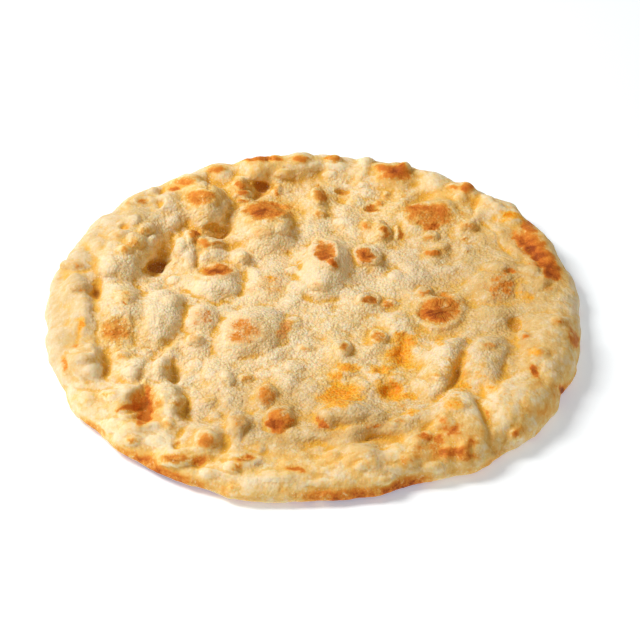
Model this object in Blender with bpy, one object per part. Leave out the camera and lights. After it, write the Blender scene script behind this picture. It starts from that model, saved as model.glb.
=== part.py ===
"""A round naan bread, flat on its underside, with a puffed rim and a top of bubbles, folds and hollows.

Metres, +Z up. The origin is the middle of the flat underside, and -Y is the side nearest the eater.
The crust starts as a smooth cushion. Each bubble then pushes it out along its own normal, and each
hollow pulls it in, so that two bubbles that touch leave a crease between them. Small blisters from a
seeded draw stand on all of it.
"""

import math
from collections import namedtuple

import bmesh
import bpy
import numpy as np
from mathutils import Vector, noise

# Driving dimensions. Bubbles and hollows below are placed from a point a little in front of the middle
BREAD_WIDTH = 0.2430
BREAD_DEPTH = 0.2490
BREAD_MIDDLE_Y = 0.0052
DOUGH_HEIGHT = 0.0082
RIM_WIDTH = 0.0130
RIM_RISE = 0.0050
RIM_INNER_SHARE = 0.66
EDGE_HEIGHT = 0.0038
HEEL_WIDTH = 0.0120

# The rim stands highest towards the left and towards the near right, and is pressed low on the near side
RIM_SWELL = 0.0012
RIM_SWELL_TURN = math.radians(158)
NEAR_DROP = 0.0030
NEAR_SLOPE = 0.0080
NEAR_TURN = math.radians(-97)

# Where the outline is pushed in (or out, where the depth is less than 0): turn, half width, depth
OUTLINE_DENTS = (
    (33, 17, -0.0024),
    (66, 11, -0.0008),
    (119, 7, 0.0010),
    (152, 14, -0.0012),
    (206, 20, 0.0020),
    (222, 5, 0.0012),
    (253, 9, -0.0010),
    (289, 14, 0.0026),
    (320, 12, -0.0010),
)
WAVINESS = 0.0006
WAVES_ROUND_EDGE = 17

# Bubbles melt into each other over this height, and their outlines wander by this much. The seed fixes how,
# because the noise would otherwise start from the clock and give another bread each time
CREASE_SOFTNESS = 0.00042
OUTLINE_WANDER = 0.0022
WANDER_SIZE = 0.015
WANDER_LAYER = 7.5
WANDER_SEED = 1795897475

# The dough between them is uneven
LUMP_SIZE = 0.009
LUMP_HEIGHT = 0.0009
LUMP_LAYER = 0.5

# Bubbles at least this high have a steep foot, and those under the other height a gentle one
STEEP_BUBBLE = 0.0065
GENTLE_BUBBLE = 0.0025
DOME_FULLNESS = 2.5
GENTLE_FOOT = 1.2
STEEP_FOOT = 0.8
SWELL_FOOT = 1.5

# Where over the edge the relief fades, by the share used in cushion
FADE_START = 0.925
FADE_END = 1.25

# Oven spring rounds every crease a little
ROUNDING = 0.16

# The net of faces: a middle block of squares, and rings out to the edge and in under the heel
BLOCK_CELLS = 44
BLOCK_REACH = 0.60
BLOCK_ROUNDNESS = 0.62
BLOCK_SQUARE_SHARE = 0.84
BLOCK_EDGE = 0.999
TOP_RINGS = 18
HEEL_RINGS = 4
FLAT_SHARE = 0.862

CRUST_COLOUR = (0.80, 0.60, 0.34, 1.0)
CRUST_ROUGHNESS = 0.72

# Where it lies, its half length and half width, how high it stands, and the turn of its length in degrees.
# A folded bubble also leans over the dough beside it: by how much, and towards which turn
Bubble = namedtuple("Bubble", "x y long wide high turn lean lean_turn", defaults=(0.0, 0.0))

# Broad, low swellings that carry the bubbles
SWELLS = (
    Bubble(-0.068, -0.006, 0.044, 0.030, 0.0030, 170),
    Bubble(-0.058, 0.062, 0.044, 0.026, 0.0026, 62),
    Bubble(-0.024, -0.016, 0.030, 0.024, 0.0018, 60),
    Bubble(0.008, 0.028, 0.040, 0.026, 0.0022, 75),
    Bubble(0.064, -0.044, 0.042, 0.030, 0.0030, 65),
    Bubble(0.058, 0.072, 0.038, 0.022, 0.0016, 20),
    Bubble(0.082, 0.012, 0.030, 0.022, 0.0018, 70),
    Bubble(-0.020, -0.086, 0.046, 0.018, 0.0016, 172),
    Bubble(0.020, -0.076, 0.032, 0.020, 0.0018, 10),
    Bubble(-0.078, -0.070, 0.026, 0.022, 0.0016, 150),
)

BACK_LEFT_BUBBLES = (
    Bubble(-0.088, 0.046, 0.033, 0.0150, 0.0078, 74, 0.0034, -32),
    Bubble(-0.053, 0.079, 0.019, 0.0120, 0.0096, 104, 0.0026, -52),
    Bubble(-0.023, 0.065, 0.021, 0.0150, 0.0096, 97, 0.0020, -65),
    Bubble(-0.070, 0.072, 0.019, 0.0105, 0.0064, 75),
    Bubble(-0.082, 0.082, 0.010, 0.0070, 0.0046, 40),
    Bubble(-0.060, 0.097, 0.009, 0.0065, 0.0050, 25),
    Bubble(-0.035, 0.092, 0.010, 0.0070, 0.0040, 95),
    Bubble(-0.059, 0.046, 0.015, 0.0052, 0.0053, 84),
    Bubble(-0.048, 0.045, 0.013, 0.0085, 0.0050, 85),
    Bubble(-0.044, 0.020, 0.014, 0.0115, 0.0073, 60),
    Bubble(-0.033, 0.038, 0.007, 0.0052, 0.0040, 110),
    Bubble(-0.021, 0.021, 0.014, 0.0090, 0.0040, 75),
    Bubble(-0.108, 0.032, 0.009, 0.0075, 0.0040, 70),
    Bubble(-0.107, 0.010, 0.013, 0.0080, 0.0044, 95),
    Bubble(-0.100, 0.055, 0.014, 0.0070, 0.0030, 68),
    Bubble(-0.093, 0.066, 0.015, 0.0080, 0.0031, 55),
)
BACK_RIM_BUBBLES = (
    Bubble(-0.047, 0.107, 0.010, 0.0080, 0.0042, 30),
    Bubble(-0.019, 0.111, 0.022, 0.0105, 0.0066, 12, 0.0022, -90),
    Bubble(-0.028, 0.109, 0.010, 0.0090, 0.0076, 80, 0.0016, -90),
    Bubble(-0.006, 0.114, 0.010, 0.0095, 0.0064, 85, 0.0010, -90),
    Bubble(0.010, 0.113, 0.010, 0.0080, 0.0046, 95),
    Bubble(0.025, 0.111, 0.010, 0.0075, 0.0044, 60),
    Bubble(0.040, 0.106, 0.012, 0.0088, 0.0054, 85),
    Bubble(0.058, 0.101, 0.010, 0.0075, 0.0040, 130),
    Bubble(0.073, 0.093, 0.008, 0.0060, 0.0040, 110),
    Bubble(0.090, 0.076, 0.015, 0.0080, 0.0034, 128),
    Bubble(0.106, 0.045, 0.023, 0.0070, 0.0036, 105),
)
BACK_RIGHT_BUBBLES = (
    Bubble(0.006, 0.031, 0.024, 0.0120, 0.0085, 82, 0.0010, -70),
    Bubble(0.025, 0.040, 0.0085, 0.0065, 0.0044, 90),
    Bubble(0.002, 0.085, 0.014, 0.0048, 0.0041, 95),
    Bubble(0.032, 0.060, 0.010, 0.0060, 0.0039, 100),
    Bubble(0.056, 0.072, 0.016, 0.0130, 0.0044, 20),
    Bubble(0.057, 0.045, 0.009, 0.0065, 0.0032, 70),
    Bubble(0.073, 0.062, 0.006, 0.0055, 0.0032, 0),
    Bubble(0.084, 0.019, 0.016, 0.0110, 0.0054, 75),
    Bubble(0.101, 0.018, 0.013, 0.0070, 0.0032, 110),
    Bubble(0.059, -0.001, 0.013, 0.0105, 0.0066, 75),
    Bubble(0.025, 0.005, 0.0065, 0.0060, 0.0037, 0),
    Bubble(0.050, 0.010, 0.008, 0.0060, 0.0034, 150),
    Bubble(0.038, -0.010, 0.012, 0.0085, 0.0039, 110),
    Bubble(0.040, 0.078, 0.012, 0.0070, 0.0027, 60),
    Bubble(0.018, 0.069, 0.011, 0.0070, 0.0024, 120),
    Bubble(0.044, 0.026, 0.013, 0.0080, 0.0024, 20),
    Bubble(0.011, -0.006, 0.014, 0.0090, 0.0024, 40),
)
NEAR_LEFT_BUBBLES = (
    Bubble(-0.087, -0.004, 0.023, 0.0120, 0.0063, 93, 0.0010, 0),
    Bubble(-0.069, -0.006, 0.022, 0.0108, 0.0070, 88, 0.0014, -5),
    Bubble(-0.049, -0.008, 0.012, 0.0080, 0.0050, 92),
    Bubble(-0.051, -0.024, 0.006, 0.0060, 0.0030, 0),
    Bubble(-0.027, -0.015, 0.020, 0.0135, 0.0072, 62),
    Bubble(-0.100, -0.039, 0.012, 0.0090, 0.0070, 92, 0.0014, -20),
    Bubble(-0.101, -0.011, 0.017, 0.0048, 0.0055, 98),
    Bubble(-0.077, -0.044, 0.010, 0.0068, 0.0045, 78),
    Bubble(-0.066, -0.042, 0.010, 0.0050, 0.0042, 80),
    Bubble(-0.062, -0.063, 0.014, 0.0060, 0.0055, 100),
    Bubble(-0.081, -0.062, 0.010, 0.0055, 0.0037, 62),
    Bubble(-0.074, -0.083, 0.012, 0.0050, 0.0047, 172),
    Bubble(-0.044, -0.090, 0.010, 0.0068, 0.0055, 70),
    Bubble(-0.030, -0.082, 0.010, 0.0060, 0.0047, 95),
    Bubble(-0.020, -0.060, 0.010, 0.0052, 0.0035, 80),
    Bubble(-0.014, -0.075, 0.010, 0.0068, 0.0042, 60),
    Bubble(-0.056, -0.099, 0.010, 0.0070, 0.0042, 150),
    Bubble(-0.029, -0.103, 0.010, 0.0068, 0.0042, 170),
    Bubble(-0.040, -0.044, 0.014, 0.0090, 0.0025, 130),
    Bubble(-0.012, -0.045, 0.012, 0.0085, 0.0025, 60),
)
NEAR_RIGHT_BUBBLES = (
    Bubble(0.056, -0.041, 0.023, 0.0095, 0.0069, 70, 0.0022, -20),
    Bubble(0.076, -0.039, 0.020, 0.0105, 0.0067, 72),
    Bubble(0.103, -0.031, 0.028, 0.0125, 0.0053, 72),
    Bubble(0.088, -0.068, 0.024, 0.0125, 0.0053, 58),
    Bubble(0.063, -0.081, 0.021, 0.0125, 0.0062, 105, 0.0008, 0),
    Bubble(0.017, -0.075, 0.0145, 0.0110, 0.0062, 175),
    Bubble(0.013, -0.030, 0.007, 0.0055, 0.0037, 90),
    Bubble(0.029, -0.021, 0.008, 0.0050, 0.0030, 60),
    Bubble(0.027, -0.048, 0.012, 0.0070, 0.0034, 80),
    Bubble(0.041, -0.079, 0.015, 0.0055, 0.0041, 30),
    Bubble(0.042, -0.096, 0.014, 0.0070, 0.0051, 58),
    Bubble(0.021, -0.101, 0.011, 0.0088, 0.0046, 40),
    Bubble(0.080, -0.008, 0.014, 0.0110, 0.0039, 160),
)
NEAR_RIM_BUBBLES = (
    Bubble(-0.100, -0.061, 0.014, 0.0070, 0.0026, 120),
    Bubble(-0.079, -0.087, 0.014, 0.0070, 0.0024, 135),
    Bubble(-0.050, -0.103, 0.016, 0.0070, 0.0026, 152),
    Bubble(-0.014, -0.111, 0.020, 0.0075, 0.0030, 176),
    Bubble(0.022, -0.107, 0.016, 0.0075, 0.0032, 12),
    Bubble(0.050, -0.100, 0.014, 0.0070, 0.0026, 32),
    Bubble(0.083, -0.080, 0.015, 0.0085, 0.0026, 55),
    Bubble(-0.034, -0.105, 0.008, 0.0055, 0.0030, 165),
    Bubble(0.014, -0.093, 0.010, 0.0042, 0.0032, 80),
    Bubble(0.004, -0.107, 0.013, 0.0036, 0.0028, 8),
    Bubble(-0.028, -0.116, 0.012, 0.0050, 0.0020, 172),
    Bubble(0.066, -0.097, 0.010, 0.0050, 0.0026, 60),
)
BUBBLES = (
    BACK_LEFT_BUBBLES + BACK_RIM_BUBBLES + BACK_RIGHT_BUBBLES
    + NEAR_LEFT_BUBBLES + NEAR_RIGHT_BUBBLES + NEAR_RIM_BUBBLES
)

# Small blisters all over, from a seeded draw: how many, their half widths and heights, how close they may
# lie, and what share of their height is left on a bubble that stands as high as CALM_BUBBLE
BLISTER_COUNT = 230
BLISTER_SEED = 11
BLISTER_WIDE = (0.0040, 0.0085)
BLISTER_LONG_SHARE = 1.25
BLISTER_HIGH = (0.0007, 0.0021)
BLISTER_SPACING = 0.0076
BLISTER_REACH = 0.123
CALM_SHARE = 0.42
CALM_BUBBLE = 0.0045

# The same measures of what is pulled in, where high is a depth
HOLLOWS = (
    Bubble(-0.072, 0.039, 0.017, 0.0048, 0.0062, 76),
    Bubble(-0.045, 0.063, 0.008, 0.0060, 0.0062, 40),
    Bubble(-0.025, 0.095, 0.007, 0.0052, 0.0054, 90),
    Bubble(-0.073, 0.088, 0.009, 0.0032, 0.0041, 95),
    Bubble(-0.098, 0.012, 0.015, 0.0032, 0.0041, 95),
    Bubble(-0.071, -0.067, 0.012, 0.0055, 0.0068, 95),
    Bubble(-0.059, -0.043, 0.010, 0.0030, 0.0035, 82),
    Bubble(-0.054, -0.066, 0.014, 0.0030, 0.0032, 98),
    Bubble(0.014, 0.092, 0.008, 0.0050, 0.0035, 110),
    Bubble(0.053, 0.088, 0.010, 0.0034, 0.0032, 38),
    Bubble(0.077, 0.083, 0.008, 0.0036, 0.0032, 100),
    Bubble(0.041, -0.030, 0.014, 0.0050, 0.0035, 75),
    Bubble(0.028, -0.093, 0.011, 0.0078, 0.0056, 20),
    Bubble(0.003, -0.096, 0.009, 0.0072, 0.0050, 10),
    Bubble(0.090, -0.012, 0.009, 0.0042, 0.0030, 60),
    Bubble(0.086, 0.052, 0.019, 0.0034, 0.0026, 114),
    Bubble(0.072, -0.078, 0.013, 0.0034, 0.0034, 98),
    Bubble(-0.044, -0.072, 0.010, 0.0070, 0.0018, 60),
    Bubble(-0.090, -0.040, 0.012, 0.0040, 0.0034, 92),
    Bubble(-0.047, -0.101, 0.007, 0.0050, 0.0026, 60),
    Bubble(0.063, 0.020, 0.014, 0.0080, 0.0018, 30),
    Bubble(0.044, -0.107, 0.009, 0.0050, 0.0024, 40),
    Bubble(-0.112, 0.021, 0.006, 0.0040, 0.0022, 10),
)


def scattered_blisters():
    """Low blisters at random places, each clear of the others' middles."""
    draw = np.random.default_rng(BLISTER_SEED)
    blisters = []
    places = np.empty((0, 2))
    while len(blisters) < BLISTER_COUNT:
        place = draw.uniform(-BLISTER_REACH, BLISTER_REACH, 2)
        shape, turn = draw.uniform(0, 1, 2), draw.uniform(0, 180)
        spacing = np.hypot(*(places - place).T) if len(places) else np.array([1.0])
        if np.hypot(*place) > BLISTER_REACH or spacing.min() < BLISTER_SPACING:
            continue
        wide = BLISTER_WIDE[0] + (BLISTER_WIDE[1] - BLISTER_WIDE[0]) * shape[0]
        high = BLISTER_HIGH[0] + (BLISTER_HIGH[1] - BLISTER_HIGH[0]) * shape[1]
        long = wide * BLISTER_LONG_SHARE
        blisters.append(Bubble(place[0], place[1] + BREAD_MIDDLE_Y, long, wide, high, turn))
        places = np.vstack([places, place])
    return tuple(blisters)


def clear_scene():
    for obj in list(bpy.data.objects):
        bpy.data.objects.remove(obj, do_unlink=True)


def smooth_step(value, start, end):
    t = np.clip((value - start) / (end - start), 0.0, 1.0)
    return t * t * (3 - 2 * t)


def wander(x, y):
    """Each place, moved a little sideways, so that no bubble is a plain ellipse."""
    points = np.column_stack([x, y]) / WANDER_SIZE
    moves = np.array([noise.noise_vector(Vector((px, py, WANDER_LAYER))) for px, py in points])
    return x + OUTLINE_WANDER * moves[:, 0], y + OUTLINE_WANDER * moves[:, 1]


def reach(bubble, x, y):
    """0 at the middle of a bubble's outline, 1 on it, and more outside."""
    turn = math.radians(bubble.turn)
    along = (x - bubble.x) * math.cos(turn) + (y - bubble.y) * math.sin(turn)
    across = (y - bubble.y) * math.cos(turn) - (x - bubble.x) * math.sin(turn)
    return np.hypot(along / bubble.long, across / bubble.wide)


def dome_share(bubble, x, y):
    """A pillow, 1 high, whose foot is steeper on a high bubble."""
    steepness = smooth_step(bubble.high, GENTLE_BUBBLE, STEEP_BUBBLE)
    foot = GENTLE_FOOT + (STEEP_FOOT - GENTLE_FOOT) * steepness
    return np.clip(1 - reach(bubble, x, y) ** DOME_FULLNESS, 0, 1) ** foot


def mound(shape, x, y):
    """A rise, or a dent, with a soft foot."""
    return shape.high * np.clip(1 - reach(shape, x, y) ** 2, 0, 1) ** SWELL_FOOT


def bubble_height(x, y):
    """The highest bubble at each place, where neighbours meet in a narrow crease."""
    grown = sum(np.expm1(bubble.high * dome_share(bubble, x, y) / CREASE_SOFTNESS) for bubble in BUBBLES)
    return CREASE_SOFTNESS * np.log1p(grown)


def blister_height(x, y):
    """The highest small blister at each place."""
    return np.max([blister.high * dome_share(blister, x, y) for blister in scattered_blisters()], axis=0)


def relief_height(x, y):
    """All of it together. A high bubble is stretched smooth, so the small blisters are lower on it."""
    swells = sum(mound(swell, x, y) for swell in SWELLS)
    hollows = sum(mound(hollow, x, y) for hollow in HOLLOWS)
    bubbles = bubble_height(x, y)
    calm = 1 - (1 - CALM_SHARE) * smooth_step(bubbles, 0, CALM_BUBBLE)
    return bubbles + blister_height(x, y) * calm + swells - hollows + lumps(x, y)


def fold_move(x, y):
    """How far each place leans sideways. Crowns lean most, so a fold closes over the dough beside it."""
    moves = np.zeros((len(x), 2))
    for bubble in BUBBLES:
        if bubble.lean:
            turn = math.radians(bubble.lean_turn)
            aim = np.array([math.cos(turn), math.sin(turn)])
            moves += np.outer(dome_share(bubble, x, y) * bubble.lean, aim)
    return moves


def lumps(x, y):
    """The slow unevenness of hand-stretched dough."""
    points = np.column_stack([x, y]) / LUMP_SIZE
    return LUMP_HEIGHT * np.array([noise.noise(Vector((px, py, LUMP_LAYER))) for px, py in points])


def edge_radius(angle):
    """From the middle to the edge: an ellipse, with its dents and a slight waviness."""
    radius = 1 / np.hypot(2 * np.cos(angle) / BREAD_WIDTH, 2 * np.sin(angle) / BREAD_DEPTH)
    for turn, half_width, depth in OUTLINE_DENTS:
        apart = np.degrees(angle) - turn
        apart = np.abs((apart + 180) % 360 - 180)
        radius = radius - depth * (1 - smooth_step(apart, 0, 2 * half_width))
    return radius + WAVINESS * np.sin(WAVES_ROUND_EDGE * angle)


def near_share(angle):
    """1 at the middle of the near side, falling to 0 a quarter turn away."""
    return np.clip(np.cos(angle - NEAR_TURN), 0, 1) ** 2


def rim_top(angle):
    swell = RIM_SWELL * np.cos(2 * (angle - RIM_SWELL_TURN))
    return DOUGH_HEIGHT + RIM_RISE + swell - NEAR_DROP * near_share(angle)


def cushion(radius_share, angle):
    """A point of the smooth cushion: 0 is the middle of its top, 1 its edge, 2 the rim of its underside."""
    edge = edge_radius(angle)
    rim_width = RIM_WIDTH + NEAR_SLOPE * near_share(angle)
    on_top = np.clip(radius_share / FLAT_SHARE, 0, 1)
    over_edge = np.clip((radius_share - FLAT_SHARE) / (1 - FLAT_SHARE), 0, 1) * math.pi / 2
    under_edge = np.clip(radius_share - 1, 0, 1) * math.pi / 2
    height = DOUGH_HEIGHT + (rim_top(angle) - DOUGH_HEIGHT) * smooth_step(on_top, RIM_INNER_SHARE, 1)
    radius = on_top * (edge - rim_width) + rim_width * np.sin(over_edge)
    height = np.where(over_edge > 0, EDGE_HEIGHT + (height - EDGE_HEIGHT) * np.cos(over_edge), height)
    radius = np.where(under_edge > 0, edge - HEEL_WIDTH * (1 - np.cos(under_edge)), radius)
    height = np.where(under_edge > 0, EDGE_HEIGHT * (1 - np.sin(under_edge)), height)
    return radius * np.cos(angle), radius * np.sin(angle) + BREAD_MIDDLE_Y, height


def block_place(u, v):
    """A point of the middle block, between a square and a disc, so that the rings round it stay even."""
    disc = np.array([u * math.sqrt(1 - v * v / 2), v * math.sqrt(1 - u * u / 2)])
    square = np.array([u, v]) * BLOCK_SQUARE_SHARE
    return BLOCK_REACH * (BLOCK_ROUNDNESS * disc + (1 - BLOCK_ROUNDNESS) * square)


def ring_angle(u, v):
    """Round the block's four sides at an even pace."""
    eighth = math.pi / 4
    if abs(u) >= abs(v):
        return eighth * v / u + (0 if u > 0 else math.pi)
    return -eighth * u / v + (math.pi / 2 if v > 0 else -math.pi / 2)


def extruded_ring(bm, edges):
    grown = bmesh.ops.extrude_edge_only(bm, edges=edges)["geom"]
    verts = [item for item in grown if isinstance(item, bmesh.types.BMVert)]
    return verts, [item for item in grown if isinstance(item, bmesh.types.BMEdge) and item.is_boundary]


def cushion_net():
    """A flat net of faces, and for each vertex its share of the way from the middle to the underside."""
    bm = bmesh.new()
    bmesh.ops.create_grid(bm, x_segments=BLOCK_CELLS, y_segments=BLOCK_CELLS, size=1)
    share = bm.verts.layers.float.new("share")
    rim_angle = bm.verts.layers.float.new("rim_angle")
    edge_x = bm.verts.layers.float.new("edge_x")
    edge_y = bm.verts.layers.float.new("edge_y")
    for vert in bm.verts:
        u, v = vert.co.x, vert.co.y
        place = block_place(u, v)
        vert[rim_angle] = ring_angle(u, v) if max(abs(u), abs(v)) > BLOCK_EDGE else 0.0
        vert[edge_x], vert[edge_y] = place
        vert[share] = float(np.hypot(*place))
        vert.co = (*place, 0)
    edges = [edge for edge in bm.edges if edge.is_boundary]
    for ring in range(1, TOP_RINGS + HEEL_RINGS + 1):
        verts, edges = extruded_ring(bm, edges)
        out = min(ring / TOP_RINGS, 1.0)
        for vert in verts:
            start = np.array([vert[edge_x], vert[edge_y]])
            end = np.array([math.cos(vert[rim_angle]), math.sin(vert[rim_angle])])
            place = start + (end - start) * out
            vert.co = (*place, 0)
            vert[share] = float(np.hypot(*place)) + max(0, ring - TOP_RINGS) / HEEL_RINGS
    bmesh.ops.contextual_create(bm, geom=edges)
    return bm, share


def shape_cushion(bm, share):
    shares = np.array([vert[share] for vert in bm.verts])
    angles = np.array([math.atan2(vert.co.y, vert.co.x) for vert in bm.verts])
    for vert, place in zip(bm.verts, np.column_stack(cushion(shares, angles))):
        vert.co = place
    bmesh.ops.recalc_face_normals(bm, faces=bm.faces)
    bm.normal_update()


def raise_relief(bm, share):
    """Moves the crust along its normals, least over the edge and not at all underneath."""
    shares = np.array([vert[share] for vert in bm.verts])
    places = np.array([vert.co for vert in bm.verts])
    normals = np.array([vert.normal for vert in bm.verts])
    x, y = wander(places[:, 0], places[:, 1])
    strength = 1 - smooth_step(shares, FADE_START, FADE_END)
    places += normals * (relief_height(x, y) * strength)[:, None]
    places[:, :2] += fold_move(x, y) * strength[:, None]
    for vert, place in zip(bm.verts, places):
        vert.co = place
    crust = [vert for vert in bm.verts if vert[share] < 1]
    bmesh.ops.smooth_vert(bm, verts=crust, factor=ROUNDING, use_axis_x=True, use_axis_y=True, use_axis_z=True)


def centre_on_origin(bm):
    """Puts the middle of the bread's box over the origin, with its underside at height 0."""
    places = np.array([vert.co for vert in bm.verts])
    low, high = places.min(axis=0), places.max(axis=0)
    middle = Vector(((low[0] + high[0]) / 2, (low[1] + high[1]) / 2, low[2]))
    bmesh.ops.translate(bm, verts=bm.verts, vec=-middle)


def crust_material():
    material = bpy.data.materials.new("crust")
    material.use_nodes = True
    surface = material.node_tree.nodes["Principled BSDF"]
    surface.inputs["Base Color"].default_value = CRUST_COLOUR
    surface.inputs["Roughness"].default_value = CRUST_ROUGHNESS
    surface.inputs["Metallic"].default_value = 0.0
    return material


def build_naan():
    noise.seed_set(WANDER_SEED)
    bm, share = cushion_net()
    shape_cushion(bm, share)
    raise_relief(bm, share)
    centre_on_origin(bm)
    mesh = bpy.data.meshes.new("naan")
    bm.to_mesh(mesh)
    bm.free()
    mesh.materials.append(crust_material())
    mesh.shade_smooth()
    naan = bpy.data.objects.new("naan", mesh)
    bpy.context.scene.collection.objects.link(naan)
    return naan


clear_scene()
build_naan()
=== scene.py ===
"""A round naan bread on a pale table: blistered, folded dough with browned bubbles and a dusting of flour.

Metres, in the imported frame. The lists below give places in millimetres, as someone who looks at the bread
from the camera's height sees them: x to the right and y away from the eater, on a flat sheet held SEEN_HEIGHT
above the table, from a point a little in front of the bread's middle.
"""

import math
from collections import namedtuple

import bpy
import numpy as np
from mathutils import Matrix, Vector, noise


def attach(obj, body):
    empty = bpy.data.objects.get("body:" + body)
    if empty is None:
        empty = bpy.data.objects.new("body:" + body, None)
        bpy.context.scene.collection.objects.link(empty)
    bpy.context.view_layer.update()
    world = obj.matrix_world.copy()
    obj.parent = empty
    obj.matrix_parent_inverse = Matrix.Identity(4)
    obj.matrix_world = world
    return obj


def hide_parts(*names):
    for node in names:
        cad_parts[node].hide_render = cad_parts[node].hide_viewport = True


MM = 0.001

# The camera: how high it looks from, how far it stands, its lens, and what it looks at
CAMERA_HEIGHT = math.radians(38)
CAMERA_DISTANCE = 0.96
CAMERA_LENS = 120
CAMERA_SENSOR = 36
CAMERA_AIM = Vector((0.0030, -0.0090, 0.0080))

# Where places in the lists are measured from
SEEN_HEIGHT = 13 * MM
SEEN_ORIGIN = Vector((0.0, -5.8 * MM, 0.0))

# The rim's skin is smoother than the floured middle, from the one distance out to the other
RIM_INNER = 0.086
RIM_OUTER = 0.108

# Up to the one height the dough is its flat underside, and from the other it is crust
UNDERSIDE_HEIGHT = 0.0004
CRUST_HEIGHT = 0.0030

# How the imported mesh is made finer, and the least weight that a vertex group keeps
MERGE_DISTANCE = 0.00001
QUAD_ANGLE = math.radians(60)
FINER_LEVELS = 2
LEAST_WEIGHT = 0.002

# Marks and creases wander sideways: the grain of the noise, and how far it moves them, in millimetres.
# Without the seed Blender would start the noise from the clock, and each run would differ
WANDER_SEED = 11
WANDER_LAYER = 3.7
SHAPE_WANDER = (6.0, 1.2)
MARK_WANDER = (6.0, 1.4)
RAGGED_WANDER = (3.0, 1.9)

# A line pressed into the dough, or a ridge raised from it: from one place to another, how far to each side
# the dough follows, and how deep or high it goes
Line = namedtuple("Line", "x y to_x to_y reach high")

# A browned or stained place: its middle, half width and half height, how strong it is, and its turn in
# degrees. The same measures give a blister or a dimple, whose strength is its height or depth in millimetres
Mark = namedtuple("Mark", "x y wide tall strength turn", defaults=(0.0,))

BACK_LEFT_BLISTERS = (
    Mark(-107, 30, 5.5, 4.4, 1.3),
    Mark(-114, 32, 4.4, 3.4, 0.8),
    Mark(-106, 13, 6, 5, 1.3),
    Mark(-90, 55, 5.5, 3.4, 1.0, 20),
    Mark(-82, 50, 5, 6.6, 1.3, 15),
    Mark(-87, 43, 4.4, 3.4, 1.0),
    Mark(-78, 59, 3.4, 5.6, 1.2, -15),
    Mark(-75, 50, 3, 4.6, 0.9),
    Mark(-84, 66, 3.6, 4.6, 0.9),
    Mark(-96, 66, 6, 4, 0.7, 50),
    Mark(-102, 50, 5, 7, 0.6, 20),
    Mark(-94, 30, 6, 8, 0.7),
    Mark(-81, 82, 6.4, 4.6, 1.2, 20),
    Mark(-88, 79, 4.6, 3.4, 0.9),
    Mark(-76, 91, 4, 4, 0.8),
    Mark(-66, 65, 3.4, 5.6, 0.9),
    Mark(-70, 78, 6, 5, 0.7),
    Mark(-62, 99, 8, 5, 1.4, 15),
    Mark(-53, 87, 6, 5, 0.8),
    Mark(-44, 105, 5, 6.6, 1.0),
    Mark(-47, 110, 5, 3, 0.9),
    Mark(-34, 116, 5, 4, 0.5),
    Mark(-27, 118, 3.6, 4.4, 0.4),
    Mark(-20, 121, 4.4, 3, 0.4),
    Mark(-12, 123, 6, 3, 0.4),
    Mark(-6, 119, 4, 4.4, 0.5),
    Mark(-14, 106, 5, 4.4, 1.0),
    Mark(-35, 97, 5, 4.4, 1.2),
    Mark(-34, 89, 5, 3.4, 1.1),
    Mark(-33, 84, 4, 2.6, 0.9),
    Mark(-18, 92, 3, 6, 1.3),
    Mark(-41, 78, 3.4, 7, 0.9),
    Mark(-57, 54, 3.2, 5, 1.1),
    Mark(-51, 49, 6, 3.2, 1.2, -35),
    Mark(-45, 48, 4, 3, 0.9),
    Mark(-62, 46, 3, 8, 1.0),
    Mark(-33, 37, 3, 4.6, 1.4),
    Mark(-25, 57, 7, 4.4, 0.7),
    Mark(-14, 62, 4, 7, 0.7, -20),
    Mark(-57, 34, 3, 9, 0.8),
    Mark(-51, 36, 3, 7, 0.7),
    Mark(-65, 20, 3.6, 3.4, 0.8),
    Mark(-84, 7, 5.4, 5, 0.9),
    Mark(-63, 5, 5, 4.4, 0.8),
    Mark(-74, 14, 5, 5, 0.6),
    Mark(-38, 14, 6, 5, 0.6),
    Mark(-28, 26, 4, 5, 0.7),
    Mark(-20, 9, 5, 4, 0.6),
    Mark(-8, 14, 5, 5, 0.7),
    Mark(-9, 27, 4, 4, 0.7),
)
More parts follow.
